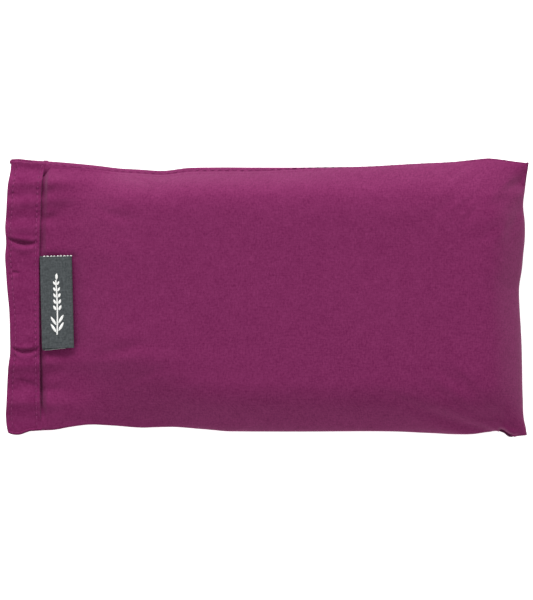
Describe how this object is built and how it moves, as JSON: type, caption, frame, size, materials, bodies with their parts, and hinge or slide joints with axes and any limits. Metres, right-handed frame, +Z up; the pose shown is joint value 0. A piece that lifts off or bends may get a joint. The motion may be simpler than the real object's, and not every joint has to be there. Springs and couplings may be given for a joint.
{
  "type": "eye pillow",
  "caption": "Flat rectangular eye pillow: a removable plum cotton slip cover with a topstitched open mouth and a folded side label, over a seed-filled cotton pouch.",
  "frame": {"origin": "middle of the rest face, under the centre of the pillow's outline", "axes": "+X along the length from the open mouth to the closed end, +Y across the width, +Z up from the table, the labelled front panel on top"},
  "size_m": [0.216, 0.1142, 0.0198],
  "materials": {
    "cover_cloth": "matte plain weave cotton",
    "cuff_cloth": "matte plain weave cotton, doubled",
    "cover_thread": "matte twisted sewing thread",
    "label_weave": "matte woven ribbon",
    "label_yarn": "matte weft yarn",
    "pouch_muslin": "matte unbleached cotton",
    "pouch_thread": "matte sewing thread",
    "flax_seed": "loose glossy seed",
    "lavender": "dry matte buds"
  },
  "bodies": {
    "cover": {"cover_front_panel": "cover_cloth", "cover_back_panel": "cover_cloth", "mouth_cuff_front": "cuff_cloth", "mouth_cuff_back": "cuff_cloth", "mouth_topstitch_front": "cover_thread", "mouth_topstitch_back": "cover_thread", "cuff_topstitch_front": "cover_thread", "cuff_topstitch_back": "cover_thread", "side_seam_thread_left": "cover_thread", "side_seam_thread_right": "cover_thread", "end_seam_thread": "cover_thread"},
    "inner_pillow": {"pouch_top_panel": "pouch_muslin", "pouch_bottom_panel": "pouch_muslin", "pouch_seam_thread": "pouch_thread", "pouch_closing_stitch": "pouch_thread", "flax_seed_fill": "flax_seed", "lavender_buds": "lavender"},
    "label": {"label_ribbon": "label_weave", "label_woven_sprig": "label_yarn"}
  },
  "joints": [
    {"name": "inner_pillow_slide", "type": "slide", "parent": "cover", "child": "inner_pillow", "axis": [-1, 0, 0], "range_m": [0, 0.212], "deforming": ["cover_front_panel", "mouth_cuff_front", "mouth_topstitch_front", "cuff_topstitch_front", "label_ribbon", "label_woven_sprig"]},
    {"name": "label_flip", "type": "hinge", "parent": "cover", "child": "label", "pos_m": [-0.09295, -0.0017, 0.00975], "axis": [0, -1, 0], "range_deg": [0, 150]}
  ]
}
